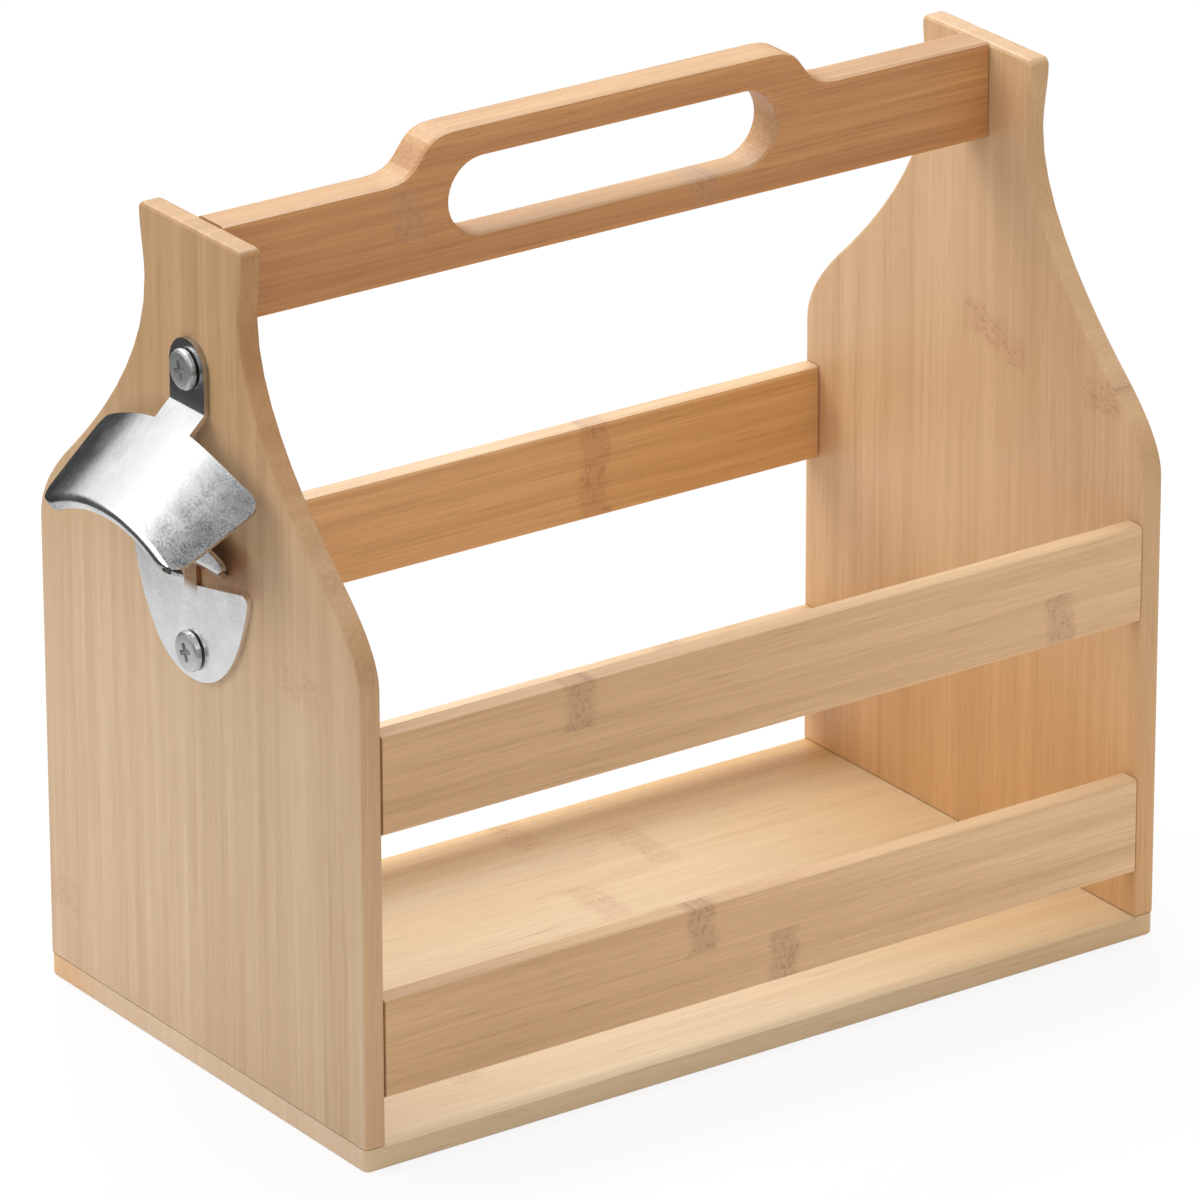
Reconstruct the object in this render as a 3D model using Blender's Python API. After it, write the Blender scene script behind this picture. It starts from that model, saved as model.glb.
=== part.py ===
# Bamboo bottle caddy: a floor panel, two shaped gables, four side slats, a handle board and a
# steel bottle opener, held together with hidden dowels and screws.
# Units are metres. +X runs along the caddy, -Y is its front, +Z is up, and the origin is the
# centre of the floor panel's underside.

import math

import bmesh
import bpy
from mathutils import Matrix, Vector

# Overall sizes
CADDY_LENGTH = 0.280
CADDY_DEPTH = 0.165
GABLE_TOP_HEIGHT = 0.258

# Clearances: faces that meet, pegs in their holes, and how far a cutter runs past a face
CONTACT_GAP = 0.0003
PEG_CLEARANCE = 0.0003
CUT_OVERRUN = 0.002

# Floor panel
FLOOR_THICKNESS = 0.007
FLOOR_CORNER_ROUND = 0.0018
FLOOR_EDGE_ROUND = 0.0008
FLOOR_LIP_ROUND = 0.0016

# Gables
GABLE_THICKNESS = 0.007
GABLE_EDGE_ROUND = 0.0011
GABLE_CORNER_RADIUS = 0.0025
SHOULDER_RISE = 0.0138
NECK_HALF_WIDTH = 0.0242
NECK_DROP = 0.022
TOP_HALF_WIDTH = 0.0263
SLOPE_ANGLE = math.radians(42)
SLOPE_INSET_SHARE = 0.276
SLOPE_RISE_SHARE = 0.279
SHOULDER_HANDLE_SHARES = (0.28, 0.377)
SLOPE_HANDLE_SHARES = (0.24, 0.33)
FLARE_HANDLE_SHARES = (0.34, 0.29)

# Slats: two at the front and two at the back
SLAT_THICKNESS = 0.007
SLAT_HEIGHT = 0.030
SLAT_EDGE_ROUND = 0.0012
LOWER_SLAT_RISE = 0.0145
SLAT_SPACING = 0.050

# Handle board
HANDLE_THICKNESS = 0.013
HANDLE_END_HEIGHT = 0.0295
HANDLE_EDGE_ROUND = 0.0015
HANDLE_CREST_RISE = 0.0123
HANDLE_CREST_HALF_LENGTH = 0.055
HANDLE_SHOULDER_LENGTH = 0.023
HANDLE_SHOULDER_SHARE = 0.62
SLOT_HALF_LENGTH = 0.057
SLOT_HEIGHT = 0.023
SLOT_FLOOR_HEIGHT = 0.009

# Dowels: two in each slat end and two in each handle end
SLAT_DOWEL_DIAMETER = 0.004
SLAT_DOWEL_DEPTH = 0.012
SLAT_DOWEL_SPACING = 0.014
HANDLE_DOWEL_DIAMETER = 0.006
HANDLE_DOWEL_DEPTH = 0.018
HANDLE_DOWEL_SPACING = 0.014
DOWEL_GABLE_DEPTH = 0.0042
DOWEL_CHAMFER = 0.0005

# Floor screws, driven up into each gable
FLOOR_SCREW_COUNT = 3
FLOOR_SCREW_SHANK = 0.0024
FLOOR_SCREW_HEAD = 0.0046
FLOOR_SCREW_HEAD_HEIGHT = 0.0012
FLOOR_SCREW_LENGTH = 0.020
FLOOR_SCREW_SETBACK = 0.022

# Opener: a steel plate with a tab, a spine and a tongue, and a hood pressed out over the mouth
OPENER_SCREW_DROP = 0.0417
OPENER_SCREW_SPACING = 0.085
PLATE_THICKNESS = 0.0016
PLATE_EDGE_ROUND = 0.0004
TAB_HALF_WIDTH = 0.009
SPINE_HALF_WIDTH = 0.003
TONGUE_HALF_WIDTH = 0.029
TONGUE_CORNER_RADIUS = 0.0025
TONGUE_CORNER_RISE = 0.0255
TONGUE_DIP_RISE = 0.0202
TONGUE_TIP_DROP = 0.0085
TONGUE_SIDE_SHARES = (0.33, 0.62)
TONGUE_TIP_SHARE = 0.52

# Hood of the opener
HOOD_CREST_DROP = 0.0099
HOOD_CREST_SLOPE = math.radians(39.7)
HOOD_ARCH_RADIUS = 0.066
HOOD_ROOT_HALF_WIDTH = 0.0419
HOOD_RIM_HALF_WIDTH = 0.0348
HOOD_REACH = 0.029
HOOD_NOTCH_REACH = 0.0068
HOOD_CORNER_REACH = 0.0035
HOOD_CORNER_RADIUS = 0.0041
HOOD_FRONT_CORNER_LENGTH = 0.0045
HOOD_FRONT_CORNER_INSET = 0.0026
HOOD_ROOT_SINK = 0.0005
RIM_ROLL_RADIUS = 0.0029
RIM_ROLL_ANGLE = math.radians(165)
RIM_RETURN_LENGTH = 0.003

# Catch of the opener, a flap bent up and out from the spine, with an upright lip
CATCH_FOOT_HALF_WIDTH = 0.017
CATCH_BEND_HALF_WIDTH = 0.0215
CATCH_LIP_HALF_WIDTH = 0.0245
CATCH_REACH = 0.0058
CATCH_FOOT_RISE = 0.0268
CATCH_RISE = 0.032
CATCH_LIP_HEIGHT = 0.0027
CATCH_STEPS = 12

# Pan head screws of the opener
PAN_HEAD_DIAMETER = 0.0120
PAN_HEAD_HEIGHT = 0.0018
PAN_SHANK_DIAMETER = 0.004
PAN_SHANK_BITE = 0.0055
PAN_CROWN_SHARES = ((1.0, 0.5), (0.95, 0.78), (0.82, 0.94), (0.6, 1.0))

# Cross recess, as shares of a screw head's diameter
RECESS_WING_SHARE = 0.46
RECESS_SLOT_SHARE = 0.13
RECESS_DEPTH_SHARE = 0.14
RECESS_TURN = math.radians(20)

# Facets of the round shapes
OUTLINE_STEPS = 10
ROUND_STEPS = 2
DOWEL_SIDES = 12
FLOOR_SCREW_SIDES = 16
PAN_SCREW_SIDES = 28
NECK_STEPS_ACROSS = 6
NECK_STEPS_OUT = 3
FLANK_STEPS = 12
HOOD_STEPS_OUT = 7
ROLL_STEPS = 6

# Places that several pieces share
HALF_LENGTH = CADDY_LENGTH / 2
HALF_DEPTH = CADDY_DEPTH / 2
GABLE_INNER_X = HALF_LENGTH - GABLE_THICKNESS
GABLE_FOOT_Z = FLOOR_THICKNESS + CONTACT_GAP
LOWER_SLAT_Z = FLOOR_THICKNESS + LOWER_SLAT_RISE
UPPER_SLAT_Z = LOWER_SLAT_Z + SLAT_HEIGHT + SLAT_SPACING
SHOULDER_Z = UPPER_SLAT_Z + SLAT_HEIGHT + SHOULDER_RISE
HANDLE_BASE_Z = GABLE_TOP_HEIGHT - HANDLE_END_HEIGHT
UPPER_SCREW_Z = GABLE_TOP_HEIGHT - OPENER_SCREW_DROP
LOWER_SCREW_Z = UPPER_SCREW_Z - OPENER_SCREW_SPACING

COLLECTION_NAME = "bamboo_bottle_caddy"
CUTTER_COLLECTION_NAME = "cutters"


def clear_scene():
    for item in list(bpy.data.objects):
        bpy.data.objects.remove(item, do_unlink=True)


def make_collection(name):
    collection = bpy.data.collections.new(name)
    bpy.context.scene.collection.children.link(collection)
    return collection


def make_material(name, colour, roughness, metallic=0.0):
    material = bpy.data.materials.new(name)
    material.use_nodes = True
    shader = material.node_tree.nodes["Principled BSDF"]
    shader.inputs["Base Color"].default_value = (*colour, 1.0)
    shader.inputs["Roughness"].default_value = roughness
    shader.inputs["Metallic"].default_value = metallic
    return material


def object_from_bmesh(name, shape, collection, material=None):
    mesh = bpy.data.meshes.new(name)
    shape.to_mesh(mesh)
    shape.free()
    item = bpy.data.objects.new(name, mesh)
    collection.objects.link(item)
    if material:
        mesh.materials.append(material)
    return item


def shade_round(item, sharp_angle=math.radians(35)):
    item.data.shade_smooth()
    item.data.set_sharp_from_angle(angle=sharp_angle)


def hide_cutter(item):
    item.hide_render = True
    item.display_type = "WIRE"


def add_boolean(item, other, operation):
    modifier = item.modifiers.new(operation.lower(), "BOOLEAN")
    modifier.operation = operation
    modifier.solver = "EXACT"
    modifier.object = other


def box_bmesh(size, centre):
    shape = bmesh.new()
    bmesh.ops.create_cube(shape, size=1.0)
    bmesh.ops.scale(shape, vec=Vector(size), verts=shape.verts)
    bmesh.ops.translate(shape, vec=Vector(centre), verts=shape.verts)
    return shape


def round_edges(shape, edges, radius):
    bmesh.ops.bevel(
        shape, geom=edges, offset=radius, offset_type="OFFSET", affect="EDGES",
        segments=ROUND_STEPS, profile=0.5, material=-1,
    )


def edges_where(shape, test):
    return [edge for edge in shape.edges if test(*[vert.co for vert in edge.verts])]


def outline_bmesh(splines, thickness, edge_round, orientation):
    # Fills a flat outline, thickens it about its plane, and turns it to its place.
    curve = bpy.data.curves.new("outline", "CURVE")
    curve.dimensions = "2D"
    curve.fill_mode = "BOTH"
    curve.resolution_u = OUTLINE_STEPS
    curve.extrude = thickness / 2 - edge_round
    curve.bevel_depth = edge_round
    curve.bevel_resolution = ROUND_STEPS - 1
    curve.offset = -edge_round
    for knots in splines:
        spline = curve.splines.new("BEZIER")
        spline.bezier_points.add(len(knots) - 1)
        spline.use_cyclic_u = True
        for point, (place, before, after) in zip(spline.bezier_points, knots):
            point.handle_left_type = "VECTOR" if before == place else "FREE"
            point.handle_right_type = "VECTOR" if after == place else "FREE"
            point.co = (*place, 0)
            point.handle_left = (*before, 0)
            point.handle_right = (*after, 0)
    holder = bpy.data.objects.new("outline", curve)
    bpy.context.scene.collection.objects.link(holder)
    evaluated = holder.evaluated_get(bpy.context.evaluated_depsgraph_get())
    mesh = bpy.data.meshes.new_from_object(evaluated)
    bpy.data.objects.remove(holder, do_unlink=True)
    shape = bmesh.new()
    shape.from_mesh(mesh)
    bpy.data.meshes.remove(mesh)
    bmesh.ops.remove_doubles(shape, verts=shape.verts, dist=CONTACT_GAP / 30)
    bmesh.ops.transform(shape, matrix=orientation, verts=shape.verts)
    bmesh.ops.recalc_face_normals(shape, faces=shape.faces)
    return shape


def trim(shape, point, outward):
    # Cuts the shape square at a plane and closes the cut.
    geometry = list(shape.verts) + list(shape.edges) + list(shape.faces)
    cut = bmesh.ops.bisect_plane(
        shape, geom=geometry, dist=CONTACT_GAP / 1000, plane_co=point, plane_no=outward,
        clear_outer=True,
    )
    border = [part for part in cut["geom_cut"] if isinstance(part, bmesh.types.BMEdge)]
    bmesh.ops.contextual_create(shape, geom=border)
    bmesh.ops.recalc_face_normals(shape, faces=shape.faces)


def corner(x, y):
    return ((x, y), (x, y), (x, y))


def smooth_knot(place, direction, before, after):
    # A smooth point of an outline, with its handles along one direction.
    back = (place[0] - direction[0] * before, place[1] - direction[1] * before)
    ahead = (place[0] + direction[0] * after, place[1] + direction[1] * after)
    return (place, back, ahead)


def arc_reach(radius, turn):
    # The handle length that makes a Bezier span follow a circular arc.
    return radius * 4 / 3 * math.tan(turn / 4)


def mirrored(knots):
    # The same outline seen in its mirror line, in the opposite order.
    def flip(place):
        return (-place[0], place[1])
    return [(flip(place), flip(after), flip(before)) for place, before, after in reversed(knots)]


def distance(first, second):
    return math.hypot(second[0] - first[0], second[1] - first[1])


def cylinder_bmesh(radius, start, end, sides):
    start, end = Vector(start), Vector(end)
    axis = end - start
    turn = Vector((0, 0, 1)).rotation_difference(axis).to_matrix().to_4x4()
    shape = bmesh.new()
    bmesh.ops.create_cone(
        shape, cap_ends=True, cap_tris=False, segments=sides, radius1=radius, radius2=radius,
        depth=axis.length,
    )
    bmesh.ops.transform(
        shape, matrix=Matrix.Translation((start + end) / 2) @ turn, verts=shape.verts,
    )
    return shape


def drill(item, cutters, name, radius, start, end, sides):
    cutter = object_from_bmesh(name, cylinder_bmesh(radius, start, end, sides), cutters)
    hide_cutter(cutter)
    add_boolean(item, cutter, "DIFFERENCE")


def turned_bmesh(profile, sides):
    # Spins a profile of (radius, height) points about the Z axis.
    shape = bmesh.new()
    verts = [shape.verts.new((radius, 0, height)) for radius, height in profile]
    edges = [shape.edges.new(pair) for pair in zip(verts, verts[1:])]
    bmesh.ops.spin(
        shape, geom=verts + edges, cent=(0, 0, 0), axis=(0, 0, 1), angle=math.tau, steps=sides,
        use_merge=True,
    )
    bmesh.ops.remove_doubles(shape, verts=shape.verts, dist=CONTACT_GAP / 30)
    bmesh.ops.recalc_face_normals(shape, faces=shape.faces)
    return shape


def place_turned(shape, seat, direction):
    # Turns a shape made along +Z so that its head faces along a direction, at a seat.
    turn = Vector((0, 0, 1)).rotation_difference(Vector(direction)).to_matrix().to_4x4()
    bmesh.ops.transform(shape, matrix=Matrix.Translation(seat) @ turn, verts=shape.verts)


def make_floor(collection, cutters, material):
    shape = box_bmesh((CADDY_LENGTH, CADDY_DEPTH, FLOOR_THICKNESS), (0, 0, FLOOR_THICKNESS / 2))
    for side in (-1, 1):
        geometry = list(shape.verts) + list(shape.edges) + list(shape.faces)
        bmesh.ops.bisect_plane(
            shape, geom=geometry, plane_co=(side * GABLE_INNER_X, 0, 0), plane_no=(1, 0, 0),
        )
    round_edges(shape, edges_where(shape, is_upright_corner), FLOOR_CORNER_ROUND)
    round_edges(shape, edges_where(shape, is_lip_edge), FLOOR_LIP_ROUND)
    round_edges(shape, edges_where(shape, is_floor_rim), FLOOR_EDGE_ROUND)
    floor = object_from_bmesh("floor_panel", shape, collection, material)
    shade_round(floor)
    for name, place in floor_screw_places():
        hole = object_from_bmesh(name + "_floor_hole", floor_hole_bmesh(), cutters)
        hole.location = place
        hide_cutter(hole)
        add_boolean(floor, hole, "DIFFERENCE")
    return floor


def is_upright(first, second):
    return abs(first.x - second.x) + abs(first.y - second.y) < CONTACT_GAP


def is_upright_corner(first, second):
    return is_upright(first, second) and abs(first.x) > GABLE_INNER_X + CONTACT_GAP


def is_lip_edge(first, second):
    # The long top edges between the gables, rounded where hands and bottles pass.
    at_top = min(first.z, second.z) > FLOOR_THICKNESS - CONTACT_GAP
    along = abs(first.y - second.y) < CONTACT_GAP
    outer = min(abs(first.y), abs(second.y)) > HALF_DEPTH - CONTACT_GAP
    between = max(abs(first.x), abs(second.x)) < GABLE_INNER_X + CONTACT_GAP
    return at_top and along and outer and between


def is_floor_rim(first, second):
    at_bottom = max(first.z, second.z) < CONTACT_GAP
    across = abs(first.x - second.x) < CONTACT_GAP
    inner = across and max(abs(first.x), abs(second.x)) < GABLE_INNER_X + CONTACT_GAP
    return at_bottom and not inner


def floor_hole_bmesh():
    # A through hole with a countersink in the underside, as one cutter.
    head = FLOOR_SCREW_HEAD / 2 + PEG_CLEARANCE
    shank = FLOOR_SCREW_SHANK / 2 + PEG_CLEARANCE
    top = FLOOR_THICKNESS + CUT_OVERRUN
    neck = FLOOR_SCREW_HEAD_HEIGHT + PEG_CLEARANCE
    return turned_bmesh([(0, top), (shank, top), (shank, neck), (head, PEG_CLEARANCE),
                         (head, -CUT_OVERRUN), (0, -CUT_OVERRUN)], FLOOR_SCREW_SIDES)


def floor_screw_places():
    # Names and places, on the underside, of the screws that hold the gables.
    reach = HALF_DEPTH - FLOOR_SCREW_SETBACK
    x = HALF_LENGTH - GABLE_THICKNESS / 2
    places = []
    for side, label in ((-1, "left"), (1, "right")):
        for index in range(FLOOR_SCREW_COUNT):
            y = -reach + index * 2 * reach / (FLOOR_SCREW_COUNT - 1)
            places.append((f"floor_screw_{label}_{index + 1}", Vector((side * x, y, 0))))
    return places


def gable_outline():
    # One half of the gable, from its foot to the middle of its top, in (depth, height).
    foot = GABLE_FOOT_Z - CUT_OVERRUN
    neck_z = GABLE_TOP_HEIGHT - NECK_DROP
    shoulder = (HALF_DEPTH, SHOULDER_Z)
    slope = (
        HALF_DEPTH - SLOPE_INSET_SHARE * (HALF_DEPTH - NECK_HALF_WIDTH),
        SHOULDER_Z + SLOPE_RISE_SHARE * (neck_z - SHOULDER_Z),
    )
    neck = (NECK_HALF_WIDTH, neck_z)
    flare = (TOP_HALF_WIDTH, GABLE_TOP_HEIGHT - GABLE_CORNER_RADIUS)
    crown = (TOP_HALF_WIDTH - GABLE_CORNER_RADIUS, GABLE_TOP_HEIGHT)
    up = (0, 1)
    inward = (-1, 0)
    uphill = (-math.cos(SLOPE_ANGLE), math.sin(SLOPE_ANGLE))
    first, second, third = distance(shoulder, slope), distance(slope, neck), distance(neck, flare)
    turn = arc_reach(GABLE_CORNER_RADIUS, math.pi / 2)
    half = [
        corner(HALF_DEPTH, foot),
        (shoulder, shoulder, (shoulder[0], shoulder[1] + SHOULDER_HANDLE_SHARES[0] * first)),
        smooth_knot(slope, uphill, SHOULDER_HANDLE_SHARES[1] * first,
                    SLOPE_HANDLE_SHARES[0] * second),
        smooth_knot(neck, up, SLOPE_HANDLE_SHARES[1] * second, FLARE_HANDLE_SHARES[0] * third),
        smooth_knot(flare, up, FLARE_HANDLE_SHARES[1] * third, turn),
        (crown, (crown[0] + turn, crown[1]), crown),
    ]
    return half + mirrored(half)


def across_x(x):
    # Lays an outline drawn in (Y, Z) on a plane square to X.
    return Matrix(((0, 0, 1, x), (1, 0, 0, 0), (0, 1, 0, 0), (0, 0, 0, 1)))


def across_y(y):
    # Lays an outline drawn in (X, Z) on a plane square to Y.
    return Matrix(((1, 0, 0, 0), (0, 0, -1, y), (0, 1, 0, 0), (0, 0, 0, 1)))


def make_gable(name, side, collection, cutters, material):
    middle = side * (HALF_LENGTH - GABLE_THICKNESS / 2)
    shape = outline_bmesh([gable_outline()], GABLE_THICKNESS, GABLE_EDGE_ROUND, across_x(middle))
    trim(shape, (0, 0, GABLE_FOOT_Z), (0, 0, -1))
    gable = object_from_bmesh(name, shape, collection, material)
    shade_round(gable)
    for peg, radius, place in dowel_places():
        if place.x * side > 0:
            start = Vector((side * (GABLE_INNER_X - CUT_OVERRUN), place.y, place.z))
            end = Vector((side * (GABLE_INNER_X + DOWEL_GABLE_DEPTH), place.y, place.z))
            drill(gable, cutters, peg + "_gable_hole", radius + PEG_CLEARANCE, start, end,
                  DOWEL_SIDES)
    for screw, place in floor_screw_places():
        if place.x * side > 0:
            start = place + Vector((0, 0, GABLE_FOOT_Z - CUT_OVERRUN))
            end = place + Vector((0, 0, FLOOR_SCREW_LENGTH + PEG_CLEARANCE * 2))
            drill(gable, cutters, screw + "_gable_hole", FLOOR_SCREW_SHANK / 2 + PEG_CLEARANCE,
                  start, end, FLOOR_SCREW_SIDES)
    return gable


def slat_places():
    # Name, the Y of the middle of the slat, and the Z of its lower edge.
    y = HALF_DEPTH - SLAT_THICKNESS / 2
    return [
        ("front_lower_slat", -y, LOWER_SLAT_Z), ("front_upper_slat", -y, UPPER_SLAT_Z),
        ("rear_lower_slat", y, LOWER_SLAT_Z), ("rear_upper_slat", y, UPPER_SLAT_Z),
    ]


def is_lengthwise(first, second):
    return abs(first.x - second.x) > CONTACT_GAP


def make_slat(name, y, z, collection, cutters, material):
    length = 2 * (GABLE_INNER_X - CONTACT_GAP)
    shape = box_bmesh((length, SLAT_THICKNESS, SLAT_HEIGHT), (0, y, z + SLAT_HEIGHT / 2))
    round_edges(shape, edges_where(shape, is_lengthwise), SLAT_EDGE_ROUND)
    slat = object_from_bmesh(name, shape, collection, material)
    shade_round(slat)
    drill_board_ends(slat, name, SLAT_DOWEL_DEPTH, cutters)
    return slat


def drill_board_ends(board, name, depth, cutters):
    # Blind holes in both ends of a board, one for each of its dowels.
    for peg, radius, place in dowel_places():
        if peg.startswith(name):
            side = math.copysign(1, place.x)
            start = Vector((side * (GABLE_INNER_X + CUT_OVERRUN), place.y, place.z))
            end = Vector((side * (GABLE_INNER_X - CONTACT_GAP - depth), place.y, place.z))
            drill(board, cutters, peg + "_board_hole", radius + PEG_CLEARANCE, start, end,
                  DOWEL_SIDES)


def dowel_places():
    # Name, radius and centre of each dowel, at the joint between a board and a gable.
    joints = [(name, y, z + SLAT_HEIGHT / 2, SLAT_DOWEL_DIAMETER, SLAT_DOWEL_SPACING)
              for name, y, z in slat_places()]
    joints.append(("handle_board", 0, HANDLE_BASE_Z + HANDLE_END_HEIGHT / 2,
                   HANDLE_DOWEL_DIAMETER, HANDLE_DOWEL_SPACING))
    places = []
    for name, y, z, diameter, spacing in joints:
        for side, label in ((-1, "left"), (1, "right")):
            for row, step in (("low", -1), ("high", 1)):
                centre = Vector((side * GABLE_INNER_X, y, z + step * spacing / 2))
                places.append((f"{name}_dowel_{label}_{row}", diameter / 2, centre))
    return places


def make_dowel(name, radius, place, collection, material):
    is_handle = name.startswith("handle")
    board_depth = HANDLE_DOWEL_DEPTH if is_handle else SLAT_DOWEL_DEPTH
    half_gap = CONTACT_GAP / 2
    inner = board_depth - half_gap
    outer = DOWEL_GABLE_DEPTH - PEG_CLEARANCE
    profile = [
        (0, -inner), (radius - DOWEL_CHAMFER, -inner), (radius, -inner + DOWEL_CHAMFER),
        (radius, outer - DOWEL_CHAMFER), (radius - DOWEL_CHAMFER, outer), (0, outer),
    ]
    shape = turned_bmesh(profile, DOWEL_SIDES)
    side = math.copysign(1, place.x)
    place_turned(shape, place, (side, 0, 0))
    dowel = object_from_bmesh(name, shape, collection, material)
    shade_round(dowel)
    return dowel


def handle_outline():
    # The whole board in (length, height), and the slot for the fingers.
    end = GABLE_INNER_X + CUT_OVERRUN
    top = GABLE_TOP_HEIGHT
    crest = top + HANDLE_CREST_RISE
    inner = HANDLE_CREST_HALF_LENGTH
    outer = inner + HANDLE_SHOULDER_LENGTH
    reach = HANDLE_SHOULDER_SHARE * HANDLE_SHOULDER_LENGTH
    half = [
        corner(end, HANDLE_BASE_Z),
        corner(end, top),
        ((outer, top), (outer, top), (outer - reach, top)),
        ((inner, crest), (inner + reach, crest), (inner, crest)),
    ]
    radius = SLOT_HEIGHT / 2
    middle = HANDLE_BASE_Z + SLOT_FLOOR_HEIGHT + radius
    straight = SLOT_HALF_LENGTH - radius
    turn = arc_reach(radius, math.pi / 2)
    low, high = middle - radius, middle + radius
    slot_half = [
        ((straight, high), (straight, high), (straight + turn, high)),
        smooth_knot((SLOT_HALF_LENGTH, middle), (0, -1), turn, turn),
        ((straight, low), (straight + turn, low), (straight, low)),
    ]
    return [half + mirrored(half), slot_half + mirrored(slot_half)]


def make_handle(collection, cutters, material):
    shape = outline_bmesh(handle_outline(), HANDLE_THICKNESS, HANDLE_EDGE_ROUND, across_y(0))
    end = GABLE_INNER_X - CONTACT_GAP
    trim(shape, (end, 0, 0), (1, 0, 0))
    trim(shape, (-end, 0, 0), (-1, 0, 0))
    handle = object_from_bmesh("handle_board", shape, collection, material)
    shade_round(handle)
    drill_board_ends(handle, "handle_board", HANDLE_DOWEL_DEPTH, cutters)
    return handle


def opener_plate_outline():
    # The plate in (depth, height): a round tab, a narrow spine and a tongue with a round tip.
    turn = arc_reach(TAB_HALF_WIDTH, math.pi / 2)
    tab_foot = crest_height(CONTACT_GAP + 2 * PLATE_THICKNESS)
    corner_z = LOWER_SCREW_Z + TONGUE_CORNER_RISE
    tip = LOWER_SCREW_Z - TONGUE_TIP_DROP
    bow = arc_reach(TONGUE_CORNER_RADIUS, math.pi / 2)
    cheek = (TONGUE_HALF_WIDTH, corner_z - TONGUE_CORNER_RADIUS)
    fall = cheek[1] - tip
    tip_reach = TONGUE_TIP_SHARE * TONGUE_HALF_WIDTH
    half = [
        smooth_knot((0, tip), (1, 0), tip_reach, tip_reach),
        (cheek, (cheek[0] - TONGUE_SIDE_SHARES[0] * TONGUE_HALF_WIDTH / 2,
                 cheek[1] - TONGUE_SIDE_SHARES[1] * fall), (cheek[0], cheek[1] + bow)),
        ((TONGUE_HALF_WIDTH - TONGUE_CORNER_RADIUS, corner_z),
         (TONGUE_HALF_WIDTH - TONGUE_CORNER_RADIUS + bow, corner_z),
         (TONGUE_HALF_WIDTH - TONGUE_CORNER_RADIUS, corner_z)),
        corner(SPINE_HALF_WIDTH, tongue_top(SPINE_HALF_WIDTH)),
        corner(SPINE_HALF_WIDTH, tab_foot + PLATE_EDGE_ROUND),
        corner(TAB_HALF_WIDTH, tab_foot),
        smooth_knot((TAB_HALF_WIDTH, UPPER_SCREW_Z), (0, 1), 0, turn),
    ]
    top = smooth_knot((0, UPPER_SCREW_Z + TAB_HALF_WIDTH), (-1, 0), turn, turn)
    return half + [top] + mirrored(half)[:-1]


def tongue_top(y):
    # The tongue's top edge dips in the middle.
    climb = TONGUE_CORNER_RISE - TONGUE_DIP_RISE
    share = abs(y) / (TONGUE_HALF_WIDTH - TONGUE_CORNER_RADIUS)
    return LOWER_SCREW_Z + TONGUE_DIP_RISE + climb * share


def crest_height(out):
    return UPPER_SCREW_Z - HOOD_CREST_DROP - out * math.tan(HOOD_CREST_SLOPE)


def hood_half_width(out):
    return HOOD_ROOT_HALF_WIDTH + out / HOOD_REACH * (HOOD_RIM_HALF_WIDTH - HOOD_ROOT_HALF_WIDTH)


def hood_surface_point(out, share):
    # The outer face of the hood at a distance from the gable and a share of its half width.
    corner_start = HOOD_REACH - HOOD_FRONT_CORNER_LENGTH
    into_corner = max(out - corner_start, 0) / HOOD_FRONT_CORNER_LENGTH
    inset = HOOD_FRONT_CORNER_INSET * into_corner ** 2 * share ** 6
    y = share * (hood_half_width(out) - inset)
    drop = HOOD_ARCH_RADIUS - math.sqrt(HOOD_ARCH_RADIUS ** 2 - y ** 2)
    return Vector((-HALF_LENGTH - out, y, crest_height(out) - drop))


def closing_steps(count):
    # Shares from 0 to 1 whose steps get finer towards 1.
    return [math.sin(math.pi / 2 * step / count) for step in range(count + 1)]


def hood_shares():
    # Shares of the half width: even steps over the neck, then finer ones to each side edge.
    notch = (TAB_HALF_WIDTH - PLATE_EDGE_ROUND) / hood_half_width(HOOD_NOTCH_REACH)
    flank = [notch + (1 - notch) * part for part in closing_steps(FLANK_STEPS)[1:]]
    neck = [notch * (2 * step / NECK_STEPS_ACROSS - 1) for step in range(NECK_STEPS_ACROSS + 1)]
    return [-share for share in reversed(flank)] + neck + flank


def hood_frame(share):
    # The directions out along the hood and up from it, at the start of its rolled rim.
    nudge = 1 / FLANK_STEPS / 4
    here = hood_surface_point(HOOD_REACH, share)
    along = here - hood_surface_point(HOOD_REACH - nudge * HOOD_FRONT_CORNER_LENGTH, share)
    along.normalize()
    across = hood_surface_point(HOOD_REACH, share + nudge)
    across -= hood_surface_point(HOOD_REACH, share - nudge)
    return here, along, across.cross(along).normalized()


def neck_points(share):
    # The neck starts flat inside the plate and takes the arch's shape at the notch.
    edge = hood_surface_point(hood_start(share), share)
    reach = -HALF_LENGTH - edge.x
    drop = crest_height(reach) - edge.z
    root = CONTACT_GAP + PLATE_THICKNESS - HOOD_ROOT_SINK
    points = []
    for step in range(NECK_STEPS_OUT):
        part = step / NECK_STEPS_OUT
        out = root + (reach - root) * part
        points.append(Vector((-HALF_LENGTH - out, edge.y, crest_height(out) - drop * part)))
    return points


def hood_start(share):
    # The hood's back edge comes nearer to the gable towards its corners, which are round.
    straight = HOOD_NOTCH_REACH - (HOOD_NOTCH_REACH - HOOD_CORNER_REACH) * share ** 4
    half_width = hood_half_width(HOOD_CORNER_REACH + HOOD_CORNER_RADIUS)
    past = max(abs(share) * half_width - (half_width - HOOD_CORNER_RADIUS), 0)
    return straight + HOOD_CORNER_RADIUS - math.sqrt(max(HOOD_CORNER_RADIUS ** 2 - past ** 2, 0))


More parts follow.
